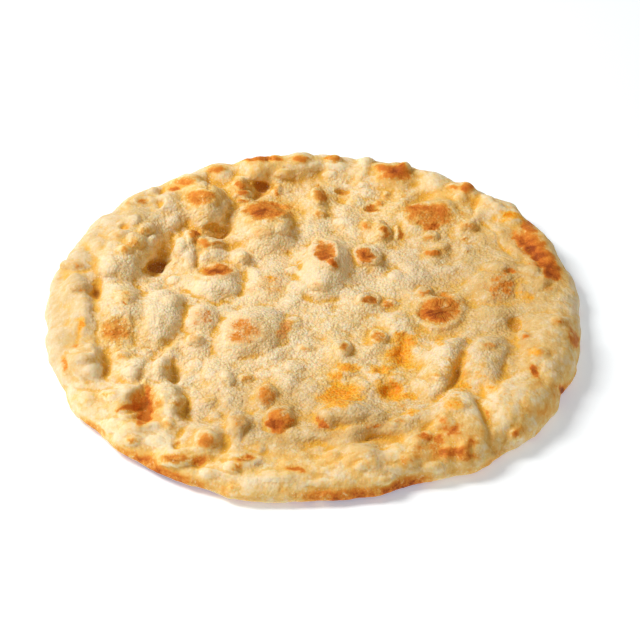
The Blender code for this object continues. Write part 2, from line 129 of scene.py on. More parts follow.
BACK_RIGHT_BLISTERS = (
    Mark(10, 119, 4.4, 2.6, 0.9),
    Mark(1, 112, 4.4, 4, 0.7),
    Mark(2, 88, 3.6, 9, 1.4),
    Mark(3, 73, 3.4, 3.6, 0.9),
    Mark(8, 106, 4, 3.4, 0.7),
    Mark(14, 112, 4, 3.6, 0.6),
    Mark(25, 118, 5, 4, 0.8),
    Mark(33, 112, 4, 4.4, 0.9),
    Mark(44, 111, 3.4, 4.6, 1.2),
    Mark(38, 104, 5, 3, 0.7),
    Mark(52, 108, 4, 3, 0.7),
    Mark(35, 88, 1.8, 4.4, 1.0),
    Mark(32, 82, 3.2, 3, 1.1),
    Mark(20, 83, 5, 4.4, 0.8),
    Mark(26, 90, 3.4, 4, 0.7),
    Mark(24, 97, 3, 3, 0.6),
    Mark(56, 54, 3.8, 3.8, 1.6),
    Mark(73, 62, 5, 3.4, 1.1),
    Mark(67, 95, 3.4, 3.4, 0.9),
    Mark(74, 95, 4, 5, 0.6),
    Mark(82, 84, 4.4, 4.4, 0.8),
    Mark(70, 86, 4, 4, 0.7),
    Mark(25, 64, 3.6, 4.4, 1.1),
    Mark(31, 64, 3, 3, 0.8),
    Mark(33, 57, 3.4, 5.8, 1.4),
    Mark(40, 57, 2, 7, 1.3),
    Mark(14, 66, 5, 4, 0.6),
    Mark(25, 39, 7, 7.4, 1.4),
    Mark(55, 41, 4.4, 3.4, 1.2),
    Mark(60, 46, 4, 3, 0.7),
    Mark(71, 44, 1.8, 1.6, 0.7),
    Mark(72, 53, 1.5, 1.3, 0.6),
    Mark(9, 33, 2.8, 5, 1.1),
    Mark(3, 16, 5, 4, 0.8),
    Mark(51, 11, 4, 3.4, 1.4),
    Mark(25, 6, 5.4, 5, 1.1),
    Mark(35, 2, 4, 3.4, 1.2),
    Mark(84, 30, 6, 4, 0.6),
    Mark(96, 12, 5, 6, 0.7),
    Mark(105, 20, 4, 4, 0.6),
    Mark(44, 30, 5, 4, 0.6),
    Mark(38, 24, 4, 5, 0.6),
    Mark(62, 28, 5, 4, 0.6),
    Mark(94, 66, 4, 5, 0.7),
    Mark(88, 79, 5, 3, 0.7, -30),
)
NEAR_LEFT_BLISTERS = (
    Mark(-88, -62, 5.6, 4, 1.0),
    Mark(-97, -64, 4.4, 5, 0.6),
    Mark(-79, -47, 5, 6, 1.0),
    Mark(-66, -42, 4, 6, 1.0),
    Mark(-100, -36, 6, 4, 0.9),
    Mark(-95, -46, 5, 7, 0.7),
    Mark(-84, -36, 4, 4, 0.8),
    Mark(-74, -34, 4, 4, 0.7),
    Mark(-52, -24, 4, 4, 1.0),
    Mark(-50, -8, 7, 9, 0.6),
    Mark(-37, -51, 3.2, 5, 0.9),
    Mark(-45, -48, 3.2, 5, 0.9),
    Mark(-29, -51, 3.4, 3, 0.9),
    Mark(-52, -42, 3.6, 5, 0.7),
    Mark(-22, -48, 4, 3.4, 0.7),
    Mark(-20, -63, 5, 9.4, 1.1, -6),
    Mark(-14, -78, 6.4, 9.6, 1.3, -14),
    Mark(-32, -80, 5, 8.4, 1.3, 6),
    Mark(-44, -67, 3.4, 4.4, 0.7),
    Mark(-42, -77, 3, 3.6, 0.8),
    Mark(-36, -66, 3, 4, 0.6),
    Mark(-44, -90, 5, 6, 1.1, -15),
    Mark(-58, -68, 3.6, 6.4, 1.0),
    Mark(-61, -80, 3.2, 3.6, 1.0),
    Mark(-76, -92, 4.4, 3.4, 0.9),
    Mark(-66, -92, 4.4, 4, 0.7),
    Mark(-57, -104, 7, 4.6, 1.3, -10),
    Mark(-33, -108, 4.4, 3.2, 1.3),
    Mark(-27, -104, 6.4, 2.6, 1.1, -15),
    Mark(-42, -112, 5, 3, 0.8),
    Mark(-15, -114, 8, 4, 0.9),
    Mark(-33, -121, 3, 2.2, 0.8),
    Mark(-22, -97, 3.4, 3, 0.7),
    Mark(-86, -82, 4, 5, 0.7, 30),
    Mark(-8, -88, 4, 5, 0.7),
    Mark(-4, -30, 4, 3, 0.7),
    Mark(-8, -42, 5, 4, 0.6),
    Mark(-2, -56, 4, 5, 0.6),
    Mark(-9, -12, 4, 5, 0.7),
)
NEAR_RIGHT_BLISTERS = (
    Mark(13, -30, 4.4, 6, 1.2),
    Mark(29, -21, 4.4, 5.4, 1.1, 25),
    Mark(14, -46, 6, 4, 0.6),
    Mark(20, -56, 4, 7, 0.8),
    Mark(36, -52, 4, 5, 0.7),
    Mark(53, -48, 3.4, 3.4, 0.7),
    Mark(46, -56, 4, 6, 0.7),
    Mark(57, -30, 5, 6, 0.6),
    Mark(92, -21, 2.8, 3, 1.0),
    Mark(110, -10, 5.4, 3.6, 1.0),
    Mark(98, -33, 4.6, 4.6, 1.1),
    Mark(76, -27, 5, 3.4, 0.7),
    Mark(104, -52, 5, 7, 0.7, 20),
    Mark(60, -68, 6.6, 4.4, 0.8),
    Mark(85, -88, 4.4, 5.6, 0.9),
    Mark(55, -79, 4.4, 5.4, 1.1),
    Mark(46, -89, 5.4, 3.4, 1.0, 30),
    Mark(18, -96, 3.4, 3.4, 0.8),
    Mark(40, -103, 4.4, 4.6, 0.9),
    Mark(22, -107, 6, 4, 1.0),
    Mark(56, -100, 3, 7, 0.8),
    Mark(63, -98, 3, 8, 0.8),
    Mark(50, -108, 5, 4, 0.8, 20),
    Mark(6, -78, 4, 7, 0.9),
    Mark(12, -73, 12, 8.5, 1.3),
    Mark(93, -66, 5, 7, 0.7, 30),
    Mark(78, -60, 5, 7, 0.6, 20),
    Mark(4, -118, 8, 3, 0.8),
    Mark(30, -116, 6, 3, 0.8, 10),
    Mark(28, -98, 11, 8, 1.6),
    Mark(3, -102, 9, 7, 1.2),
)
BLISTERS = BACK_LEFT_BLISTERS + BACK_RIGHT_BLISTERS + NEAR_LEFT_BLISTERS + NEAR_RIGHT_BLISTERS

# Crowns of bubbles that fell in as they cooled: a dish with a lip round it and wrinkles towards its middle
CROWNS = (
    Mark(-24, 75, 10.5, 8, 1.4),
    Mark(-45, 27, 8.5, 4.6, 1.1, 8),
    Mark(-106, 12, 4.4, 4.4, 0.8),
    Mark(-107, 30, 3.4, 2.8, 0.6),
    Mark(-81, 82, 4, 2.6, 0.9),
    Mark(-54, 85, 7.5, 6, 0.5),
    Mark(-31, -17, 8.5, 10.5, 0.6),
    Mark(-50, -8, 6, 7.5, 0.6),
    Mark(-87, -17, 7, 10, 0.4),
    Mark(57, -3, 9.6, 11.6, 2.1, -18),
    Mark(55, 71, 12, 9.5, 0.7),
    Mark(85, 14, 8, 11, 0.3),
    Mark(25, 40, 5.6, 6.4, 1.5),
    Mark(5, 42, 5.6, 9.5, 1.3, 10),
    Mark(25, 5, 4.2, 3.8, 1.2),
    Mark(51, 11, 2.4, 2.2, 0.6),
    Mark(3, 88, 3.4, 7, 0.6),
    Mark(28, 77, 4.2, 4, 1.1),
    Mark(13, -28, 2.4, 3.6, 0.8),
    Mark(29, -22, 3.2, 3.8, 0.8),
    Mark(-17, -80, 5.2, 7.4, 0.8, -20),
    Mark(-19, -65, 3.8, 6.8, 0.6),
    Mark(-31, -78, 3.6, 4.4, 0.7),
    Mark(-44, -91, 3.2, 4.8, 0.6),
    Mark(-57, -103, 6.4, 4, 0.9),
    Mark(-28, -103, 6, 3, 0.8),
    Mark(-72, -70, 9, 11, 0.3),
)

# Blisters stand this much higher than their lists say, and the more fullness, the blunter they are
PLUMPNESS = 1.65
DOME_FULLNESS = 2.4

# The lip round a fallen crown: how far out it lies and how wide it is, measured against the crown, and how
# high it stands against the crown's depth
LIP_REACH = 1.08
LIP_WIDTH = 0.17
LIP_SHARE = 0.42

# How far a place faces the camera where the lists begin to reach it, and where they hold in full
HIDDEN_FACING = -0.15
SHOWN_FACING = 0.20

# Scorch marks by chance on the side that faces away: their size, how strong they are, and where in the
# noise they begin and are full
BLOTCH_SIZE = 0.011
BLOTCH_STRENGTH = 0.72
BLOTCH_EDGE = (0.12, 0.42)

# Pits and pockets
DIMPLES = (
    Mark(-73, 80, 2.8, 5, 1.6),
    Mark(-88, 61, 2.4, 2.2, 0.9),
    Mark(-47, 61, 6, 4, 0.8),
    Mark(-73, 31, 4.4, 6, 1.4),
    Mark(-26, 95, 4, 4, 1.8),
    Mark(-22, 118, 2, 3, 0.8),
    Mark(14, 92, 4, 3, 1.4),
    Mark(56, 54, 1.4, 1.4, 0.6),
    Mark(34, 57, 1.8, 2.6, 0.8),
    Mark(90, 27, 2.6, 2, 0.9),
    Mark(90, -13, 4, 6, 1.2),
    Mark(34, -60, 5, 5.6, 1.0),
    Mark(30, -45, 3, 2, 0.8, -25),
    Mark(10, -54, 4, 3, 0.6),
    Mark(-66, -27, 3.6, 5, 0.4),
    Mark(-72, -76, 3.4, 4, 0.4),
    Mark(-57, -94, 2.2, 2.8, 1.0),
    Mark(-57, -86, 4, 5, 0.5),
    Mark(-47, -106, 4.4, 3, 0.6),
    Mark(46, -88, 2.6, 1.4, 0.6),
    Mark(27, -90, 7, 3.5, 0.8),
    Mark(1, -93, 6, 4, 0.7),
)

# Folds and lips that stand up from the dough
RIDGES = (
    Line(-101, 0, -98, -12, 2.6, 0.6),
    Line(-98, -12, -97, -28, 2.6, 0.5),
    Line(-83, -80, -75, -83, 3.5, 1.1),
    Line(-75, -83, -66, -82, 3.5, 1.1),
    Line(-80, -60, -72, -54, 3.2, 0.8),
    Line(-72, -54, -64, -58, 3.2, 0.7),
    Line(-64, -62, -60, -74, 3.2, 0.7),
    Line(-12, -105, -6, -104, 2.2, 0.7),
    Line(-6, -104, 4, -110, 2.2, 0.8),
    Line(4, -110, 12, -104, 2.2, 0.9),
    Line(12, -104, 22, -99, 2.5, 0.8),
    Line(6, -88, 22, -83, 4.0, 0.8),
    Line(8, -99, 22, -96, 3.5, 0.8),
    Line(22, -96, 34, -101, 3.5, 0.7),
    Line(92, 46, 98, 40, 2.8, 0.8),
    Line(98, 40, 103, 29, 2.8, 0.7),
    Line(30, 52, 24, 47, 2.0, 0.4),
    Line(-60, 60, -56, 42, 2.2, 0.5),
    Line(-38, 103, -30, 101, 2.5, 0.6),
)

# Where the dough is pinched in between bubbles and folds
CREASES = (
    Line(-99, 34, -98, 14, 3.8, 0.8),
    Line(-98, 14, -97, -2, 3.0, 1.0),
    Line(-104, -3, -103, -20, 2.2, 0.6),
    Line(-103, -20, -104, -29, 2.2, 0.7),
    Line(-95, -11, -96, -20, 1.5, 0.5),
    Line(-108, -33, -97, -31, 2.2, 0.9),
    Line(-109, -36, -105, -48, 2.5, 0.9),
    Line(-105, -48, -102, -53, 2.5, 0.6),
    Line(-91, -32, -90, -50, 4.5, 0.6),
    Line(-103, -57, -92, -59, 2.2, 0.6),
    Line(-104, 44, -100, 34, 3.0, 0.7),
    Line(-85, 67, -89, 60, 2.2, 0.8),
    Line(-77, 28, -68, 36, 3.8, 1.3),
    Line(-68, 36, -66, 56, 3.0, 1.0),
    Line(-55, 60, -42, 66, 3.8, 0.6),
    Line(-42, 66, -40, 80, 2.8, 0.9),
    Line(-68, 92, -58, 97, 2.2, 0.8),
    Line(-51, 106, -50, 93, 2.2, 0.9),
    Line(-32, 100, -20, 96, 3.8, 1.2),
    Line(-12, 55, -9, 70, 2.5, 0.5),
    Line(-54, 22, -48, 20, 2.0, 0.5),
    Line(-58, 12, -48, 5, 2.5, 0.7),
    Line(-48, 5, -44, 2, 2.2, 0.6),
    Line(-66, -8, -62, -20, 3.0, 0.5),
    Line(-62, -20, -66, -31, 3.5, 0.4),
    Line(-80, -8, -79, -28, 2.2, 0.6),
    Line(-30, -36, -20, -33, 4.2, 0.6),
    Line(-20, -33, -13, -25, 4.2, 0.6),
    Line(-4, 7, 4, 4, 4.2, 0.6),
    Line(4, 4, 13, 6, 4.2, 0.5),
    Line(-62, -38, -59, -53, 3.8, 0.5),
    Line(-73, -40, -74, -52, 2.2, 0.6),
    Line(-55, -58, -55, -68, 3.5, 0.5),
    Line(-55, -68, -53, -80, 3.8, 0.6),
    Line(-53, -80, -57, -90, 2.5, 0.6),
    Line(-73, -56, -71, -68, 1.8, 0.9),
    Line(-71, -68, -70, -79, 2.0, 0.9),
    Line(-80, -73, -72, -71, 1.8, 0.8),
    Line(-65, -69, -71, -73, 1.8, 0.8),
    Line(-78, -76, -70, -79, 1.8, 0.7),
    Line(-27, -82, -29, -92, 2.2, 0.8),
    Line(-37, -88, -36, -98, 2.8, 0.7),
    Line(-62, -101, -50, -99, 2.2, 0.9),
    Line(-38, -104, -30, -101, 1.8, 0.7),
    Line(-30, -101, -23, -106, 1.8, 0.7),
    Line(-38, -110, -29, -111, 1.8, 0.6),
    Line(-2, -108, 6, -107, 2.0, 0.6),
    Line(6, -107, 12, -102, 2.0, 0.7),
    Line(-14, -110, -8, -108, 1.8, 0.6),
    Line(67, -33, 63, -44, 3.0, 1.2),
    Line(63, -44, 60, -54, 3.2, 1.6),
    Line(60, -54, 53, -64, 3.2, 1.2),
    Line(85, -34, 82, -48, 3.5, 0.8),
    Line(82, -48, 76, -60, 3.5, 0.6),
    Line(70, -66, 73, -78, 2.2, 0.8),
    Line(73, -78, 75, -99, 2.8, 1.1),
    Line(83, -82, 79, -98, 2.2, 0.6),
    Line(53, -76, 44, -88, 2.2, 0.7),
    Line(44, -88, 37, -98, 2.2, 0.6),
    Line(36, -82, 39, -72, 2.0, 0.6),
    Line(58, -86, 57, -104, 1.9, 0.5),
    Line(66, -88, 66, -106, 1.9, 0.5),
    Line(41, -20, 38, -35, 2.8, 0.9),
    Line(48, -5, 50, -18, 2.8, 0.8),
    Line(98, -40, 96, -48, 1.6, 0.6),
    Line(96, -48, 92, -51, 1.6, 0.6),
    Line(46, 80, 51, 88, 3.8, 0.7),
    Line(51, 88, 60, 92, 3.8, 0.6),
    Line(50, 64, 62, 62, 1.8, 0.6),
    Line(79, 88, 75, 70, 2.5, 0.9),
    Line(80, 67, 86, 56, 1.8, 0.7),
    Line(86, 56, 88, 46, 1.8, 0.7),
    Line(88, 46, 93, 37, 2.0, 0.8),
    Line(98, 62, 99, 50, 1.8, 0.6),
    Line(99, 50, 102, 42, 1.8, 0.6),
    Line(102, 42, 104, 27, 1.8, 0.6),
    Line(92, 23, 92, 8, 2.2, 0.6),
    Line(80, 27, 92, 24, 2.0, 0.5),
    Line(93, 27, 103, 21, 1.9, 0.6),
    Line(103, 12, 108, 17, 1.9, 0.6),
    Line(17, 99, 23, 112, 2.2, 0.6),
    Line(24, 101, 28, 110, 2.0, 0.5),
    Line(85, 77, 93, 80, 1.9, 0.5),
    Line(64, 86, 70, 76, 2.0, 0.4),
)

# Browned crowns and blisters
SCORCHES = (
    Mark(-27, 119, 12, 3.2, 0.80),
    Mark(-23, 120, 2, 1.2, 1.00),
    Mark(-47, 110, 5, 3.4, 0.68),
    Mark(-50, 100, 1.3, 5, 0.55),
    Mark(-6, 119, 5, 3, 0.66),
    Mark(-62, 99, 6.5, 4, 0.74, 15),
    Mark(-67, 93, 3, 2, 0.92),
    Mark(-81, 82, 4, 2.6, 0.62),
    Mark(-87, 79, 3, 2, 0.50),
    Mark(-88, 62, 2, 3.4, 0.50),
    Mark(-79, 58, 2.6, 3.6, 0.52),
    Mark(-91, 54, 3, 2, 0.48),
    Mark(-83, 49, 3.4, 4.6, 0.60),
    Mark(-87, 43, 3, 2.2, 0.66),
    Mark(-54, 85, 8.5, 7, 0.74),
    Mark(-56, 55, 2.6, 4, 0.72),
    Mark(-52, 49, 5, 2.8, 0.74, -35),
    Mark(-45, 48, 3.6, 2, 0.66),
    Mark(-50, 43, 3, 2, 0.50),
    Mark(-35, 97, 4.4, 2.6, 0.78),
    Mark(-34, 90, 3.4, 2.6, 0.86),
    Mark(-33, 84, 3, 1.8, 0.74),
    Mark(-18, 92, 1.6, 4.4, 0.76),
    Mark(-22, 75, 12.5, 9.5, 0.84),
    Mark(-25, 74, 5, 3.6, 1.00),
    Mark(-23, 56, 7, 4.5, 0.38),
    Mark(-44, 27, 9, 5, 0.84, 8),
    Mark(-45, 27, 4.6, 2.6, 1.00),
    Mark(-33, 37, 2, 1.6, 0.60),
    Mark(-20, 18, 6.5, 10, 0.52),
    Mark(-28, 12, 3.4, 3, 0.48),
    Mark(-115, 31, 4, 3, 0.50),
    Mark(-107, 30, 3, 2.6, 0.58),
    Mark(-106, 13, 5, 4.6, 0.50),
    Mark(-84, 7, 3.6, 4.4, 0.40),
    Mark(-84, 3, 0.8, 0.8, 0.95),
    Mark(-63, 6, 4, 3, 0.34),
    Mark(10, 119, 3.6, 2.4, 0.72),
    Mark(1.5, 97, 0.9, 1.6, 0.90),
    Mark(3, 88, 3.8, 8, 0.82),
    Mark(3, 73, 2.8, 3.2, 0.60),
    Mark(14, 92, 3, 2.2, 0.52),
    Mark(34, 111, 5, 3.4, 0.74),
    Mark(40, 107, 7.5, 7, 0.78),
    Mark(40, 106, 3.4, 3, 1.00),
    Mark(43, 113, 2.6, 2, 0.96),
    Mark(43, 86, 3, 1, 0.60, 40),
    Mark(35, 88, 1.2, 3.4, 0.62),
    Mark(28, 77, 4.2, 3.4, 0.92),
    Mark(32, 82, 3, 2.4, 0.70),
    Mark(20, 83, 4, 3, 0.42),
    Mark(25, 64, 3, 3.4, 0.62),
    Mark(33, 57, 2.8, 5, 0.76),
    Mark(41, 57, 1.5, 6, 0.66),
    Mark(55, 72, 14.5, 10.5, 0.62),
    Mark(50, 78, 7, 3, 0.84),
    Mark(56, 62, 4, 3, 0.92),
    Mark(67, 95, 3, 2.4, 0.60),
    Mark(74, 95, 3.2, 4.6, 0.86),
    Mark(76, 85, 4, 3, 0.42),
    Mark(73, 62, 4.4, 2.8, 0.66),
    Mark(72, 53, 1.4, 1.2, 0.62),
    Mark(71, 43, 1.4, 1.2, 0.62),
    Mark(102, 62, 4, 6, 0.80, 20),
    Mark(101, 48, 6, 11, 0.88, 25),
    Mark(106, 36, 5.5, 10, 0.90, 20),
    Mark(109, 25, 4.4, 6, 0.88),
    Mark(101, 45, 3, 4, 1.00, 30),
    Mark(108, 27, 2.4, 4, 1.00),
    Mark(106, 15, 3, 4, 0.52),
    Mark(90, 27, 3.6, 2.6, 0.52),
    Mark(85, 14, 9.5, 13, 0.50),
    Mark(55, 53, 2.8, 2.6, 0.62),
    Mark(55, 41, 3.4, 2.8, 0.76),
    Mark(60, 44, 5, 4, 0.44),
    Mark(24, 39, 6, 7, 0.84),
    Mark(25, 40, 3, 3.6, 1.00),
    Mark(5, 42, 6.5, 11, 0.80),
    Mark(4, 38, 3.4, 5, 1.00),
    Mark(9, 33, 1.8, 4.6, 0.92),
    Mark(3, 16, 3, 2, 0.52),
    Mark(25, 5, 4.2, 3.8, 0.86),
    Mark(34, 2, 2.8, 2.6, 0.68),
    Mark(51, 11, 2.6, 2.2, 0.62),
    Mark(57, -2, 11, 13, 0.78, -18),
    Mark(54, -5, 5, 6, 1.02, -30),
    Mark(-103, -15, 1.4, 5, 0.56),
    Mark(-104, -28, 4, 4, 0.46),
    Mark(-108, -42, 1.8, 6, 0.64),
    Mark(-95, -37, 3, 2.6, 0.44),
    Mark(-87, -17, 7.5, 11, 0.64),
    Mark(-83, -36, 3, 2.4, 0.40),
    Mark(-65, -25, 3, 4, 0.42),
    Mark(-50, -8, 6, 8, 0.66),
    Mark(-52, -23, 3.4, 3, 0.64),
    Mark(-31, -17, 9, 12, 0.66),
    Mark(-9, -11, 2.6, 2, 0.44),
    Mark(-4, -30, 2.4, 1.8, 0.62),
    Mark(-63, -43, 3, 2.4, 0.48),
    Mark(-58, -47, 2.4, 2, 0.44),
    Mark(-28, -51, 2.2, 2, 0.54),
    Mark(-73, -68, 7, 10, 0.62),
    Mark(-72, -77, 3, 4, 1.05),
    Mark(-71, -67, 1.6, 11, 0.98, 4),
    Mark(-79, -70, 4, 1.6, 0.90, 25),
    Mark(-89, -61, 3.4, 2.2, 0.52),
    Mark(-58, -68, 3.2, 3, 0.52),
    Mark(-61, -80, 2.4, 2.8, 0.54),
    Mark(-56, -94, 1.8, 2.8, 0.64),
    Mark(-43, -78, 2.6, 2, 0.44),
    Mark(-44, -65, 2.6, 2, 0.44),
    Mark(-20, -62, 4.4, 8, 0.76),
    Mark(-14, -78, 5.4, 9.4, 0.84),
    Mark(-17, -80, 2.8, 4, 1.00),
    Mark(-31, -78, 3.8, 4.8, 0.68),
    Mark(-44, -90, 3.4, 5.4, 0.82),
    Mark(-76, -92, 3, 2.2, 0.62),
    Mark(-57, -103, 6, 3.8, 0.74),
    Mark(-47, -104, 6, 3.4, 0.62, 20),
    Mark(-28, -102, 6, 1.6, 0.74, 12),
    Mark(-31, -108, 2.4, 2, 0.66),
    Mark(-7, -109, 5, 1.6, 0.64, -20),
    Mark(-33, -121, 2.6, 2, 0.56),
    Mark(29, -21, 3.4, 4.2, 0.76),
    Mark(13, -29, 2, 3.4, 0.82),
    Mark(53, -48, 2.8, 2.2, 0.52),
    Mark(92, -21, 1.8, 2.2, 0.52),
    Mark(110, -11, 3.4, 2.2, 0.64),
    Mark(115, -23, 2.2, 8, 0.66),
    Mark(98, -32, 3.4, 2.8, 0.60),
    Mark(96, -46, 1.4, 5, 0.80, 20),
    Mark(76, -27, 2.8, 2.2, 0.52),
    Mark(73, -41, 2.6, 2.2, 0.44),
    Mark(107, -58, 2.4, 4.4, 0.54),
    Mark(85, -87, 2.8, 3.4, 0.74),
    Mark(73, -75, 1.2, 4.4, 0.54),
    Mark(54, -77, 3, 3.2, 0.62),
    Mark(58, -82, 2.6, 2, 0.54),
    Mark(47, -88, 4.6, 2.8, 0.66),
    Mark(44, -97, 4.4, 3, 0.46),
    Mark(52, -92, 5, 7, 0.46, -20),
    Mark(58, -84, 5, 4, 0.52),
    Mark(61, -100, 9, 5, 0.50),
    Mark(66, -91, 2.6, 4.4, 0.48),
    Mark(4, -79, 3, 4.4, 0.72),
    Mark(25, -82, 4.4, 1.8, 0.50),
    Mark(37, -78, 3, 2, 0.50),
    Mark(38, -70, 3, 2, 0.50),
    Mark(38, -104, 3, 2, 0.54),
    Mark(20, -105, 4, 2.4, 0.40),
)

# Where the foot of the edge is burnt
FOOT_SCORCHES = (
    Mark(-94, -84, 9, 9, 0.80),
    Mark(-66, -108, 26, 12, 0.95, -35),
    Mark(-30, -124, 18, 8, 0.45, -8),
    Mark(12, -126, 22, 9, 0.95, 4),
    Mark(36, -120, 16, 9, 1.00, 20),
    Mark(70, -106, 14, 8, 0.45, 35),
    Mark(112, -50, 7, 16, 0.30),
    Mark(-108, -62, 8, 14, 0.35),
)

# Orange oil, most of it right of the middle
OIL_STAINS = (
    Mark(15, -43, 4.4, 2.6, 0.80),
    Mark(10, -49, 3, 2.6, 0.72),
    Mark(12, -62, 8, 6, 0.80, 20),
    Mark(42, -25, 5.4, 6, 0.72),
    Mark(38, -35, 4, 5, 1.00),
    Mark(43, -42, 3.4, 3, 0.60),
    Mark(31, -45, 4.6, 3, 0.72),
    Mark(33, -58, 5.4, 6, 0.78),
    Mark(40, -63, 3.4, 3, 0.72),
    Mark(63, -55, 3.8, 4, 0.62),
    Mark(61, -42, 3.4, 9, 0.50, -20),
    Mark(75, -57, 6, 8, 0.34),
    Mark(24, -26, 3, 2, 0.50, 30),
    Mark(56, -25, 2, 2.6, 0.60),
    Mark(59, -67, 5, 3, 0.66),
    Mark(43, -73, 3.4, 2, 0.56),
    Mark(-13, -16, 2.4, 5.4, 1.00, -12),
    Mark(94, 72, 4.4, 2.4, 0.86, -25),
    Mark(90, 68, 4, 2.6, 0.50),
    Mark(-20, 18, 3.4, 7, 0.34),
    Mark(-53, 24, 3, 4, 0.34),
    Mark(96, 8, 3, 4, 0.44),
    Mark(96, -32, 2.4, 3, 0.44),
    Mark(-103, -14, 1.2, 5, 0.62),
)

# Broad places that baked darker than the rest, and, from the left rim on, places darkened as painted shade
BAKED_AND_SHADED_AREAS = (
    Mark(60, -92, 26, 22, 0.85, 30),
    Mark(44, -100, 16, 10, 0.70, 30),
    Mark(14, -84, 30, 16, 0.60),
    Mark(100, -70, 18, 34, 0.90, -20),
    Mark(112, -30, 8, 34, 0.45),
    Mark(88, 14, 16, 18, 0.25),
    Mark(62, 82, 26, 22, 0.35),
    Mark(38, 104, 22, 12, 0.35),
    Mark(-20, 108, 24, 14, 0.45),
    Mark(-40, 95, 12, 14, 0.35),
    Mark(-48, 66, 12, 14, 0.30),
    Mark(-74, 40, 8, 18, 0.35),
    Mark(12, -56, 14, 12, 0.35),
    Mark(38, -52, 14, 28, 0.35),
    Mark(-72, -70, 14, 12, 0.25),
    Mark(-52, -104, 18, 8, 0.45),
    Mark(-96, -66, 10, 10, 0.30),
    Mark(-106, -40, 6, 14, 0.30),
    Mark(10, -118, 40, 7, 0.50, 5),
    Mark(-50, -116, 26, 7, 0.35, -25),
    # Painted shade: the left rim, the right side and the near middle toned down, and shade under the folded
    # bubble, in a crease and in a pit
    Mark(-106, 10, 12, 60, 0.22),
    Mark(-84, 80, 14, 30, 0.20, -45),
    Mark(92, 20, 28, 60, 0.46),
    Mark(96, -30, 24, 34, 0.45),
    Mark(4, -100, 46, 18, 0.45, 4),
    Mark(100, 34, 18, 44, 0.25, 15),
    Mark(-47, 60, 10, 5, 1.30, 10),
    Mark(62, -50, 5, 10, 0.90, -25),
    Mark(27, -90, 10, 5, 0.70),
)

# Broad places whose flour is thick, and others greyed as painted shade, on the left rim, the right side and
# the near middle
FLOURED_AREAS = (
    Mark(-2, 34, 36, 26, 0.95),
    Mark(-44, 2, 32, 28, 1.00),
    Mark(24, 20, 26, 20, 0.50),
    Mark(-28, -30, 30, 14, 0.50),
)
SHADED_AREAS = (
    Mark(-110, 0, 14, 62, 1.00),
    Mark(-92, 66, 14, 34, 0.80, -40),
    Mark(84, 10, 26, 58, 0.80),
    Mark(52, 24, 14, 40, 0.50),
    Mark(0, -76, 54, 24, 0.80),
)

# How far out the marks of each list are whole, and where they have faded to nothing, measured against them
SCORCH_FADE = (0.40, 1.50)
TOAST_FADE = (0.60, 2.20)
WRINKLE_FADE = (0.40, 1.10)
BAKED_AND_SHADED_FADE = (0.10, 1.40)
FLOUR_FADE = (0.30, 1.60)
SHADED_FADE = (0.50, 1.40)
FOOT_FADE = (0.40, 1.40)
OIL_FADE = (0.30, 2.10)

# What marks that overlap the strongest one add to it
CROWD_SHARE = 0.15

# How many rounds of smoothing show the broad valleys, the hollows and the fine crevices, and how hard each is
DEPTH_ROUNDS = {"valley": 400, "hollow": 60, "crevice": 6}
SMOOTHING = 0.8

# Uneven dough all over: the grain and the height of its knobs, lumps and pores
KNOB_SIZE = 0.0058
KNOB_HEIGHT = -0.0005
LUMP_SIZE = 0.0060
LUMP_HEIGHT = 0.0008
PORE_SIZE = 0.0022
PORE_HEIGHT = 0.0004

# The noises of the crust's colour and grain, from the broadest to the finest, and the flour's grains
BROAD_SIZE = 0.016
PATCH_SIZE = 0.0048
PEBBLE_SIZE = 0.0026
FINE_SIZE = 0.0014
GRIT_SIZE = 0.0006
GRAIN_SIZE = 0.0013

# Wrinkles that run out from the middle of a fallen crown: how many, and how long they are
STROKE_COUNT = 5.5
STROKE_LENGTHS = (1.1, 1.1, 3.7)

# Where in its mask each finish begins and is full. Those of the foot are heights in metres, and those of
# valleys, hollows, crevices and pockets are depths in millimetres
SCORCH_EDGE = (0.08, 0.68)
FOOT_EDGE = (0.0034, 0.0006)
BURNT_EDGE = (0.0086, 0.0056)
WARM_EDGE = (0.42, 0.62)
VALLEY_EDGE = (0.2, 3.2)
HOLLOW_EDGE = (0.0, 1.2)
CREVICE_EDGE = (0.01, 0.13)
POCKET_SHADE_EDGE = (3.2, 8.0)
BULGE_HIGHLIGHT_EDGE = (0.0, -0.5)
HIGH_BULGE_EDGE = (0.0, -1.0)
OIL_EDGE = (0.10, 0.60)
SOAKED_EDGE = (0.56, 0.88)
FLOUR_EDGE = (0.32, 0.10)
GAP_EDGE = (0.42, 0.70)

# How much each finish covers at most
POCKET_SHADE_COVER = 0.90
OIL_COVER = 0.88
SOAKED_COVER = 0.90
GAP_COVER = 0.30

# The skin: soft and dry, with light that sinks in a little way, red farthest
SKIN_ROUGHNESS = 0.70
OIL_SHINE = 0.20
SKIN_SPECULAR = 0.20
RELIEF_DEPTH = 0.0020
GLOW = 0.50
GLOW_RADIUS = (1.0, 0.60, 0.30)
GLOW_DEPTH = 0.0018

# Colours of the crust from the palest flour to the darkest scorch, as they are under white light
FLOURED = (0.97, 0.82, 0.58, 1)
DOUGH = (0.93, 0.65, 0.25, 1)
GOLDEN = (0.86, 0.45, 0.090, 1)
TOASTED = (0.78, 0.29, 0.036, 1)
BROWNED = (0.62, 0.165, 0.016, 1)
CHARRED = (0.33, 0.065, 0.008, 1)
OILED = (0.96, 0.30, 0.002, 1)
OIL_YELLOW = (0.99, 0.50, 0.022, 1)
# Painted shade: a greyer tone laid over places the lamps light too brightly
SHADE_GREY = (0.57, 0.44, 0.25, 1)
GRAIN_GAP = (0.74, 0.47, 0.14, 1)
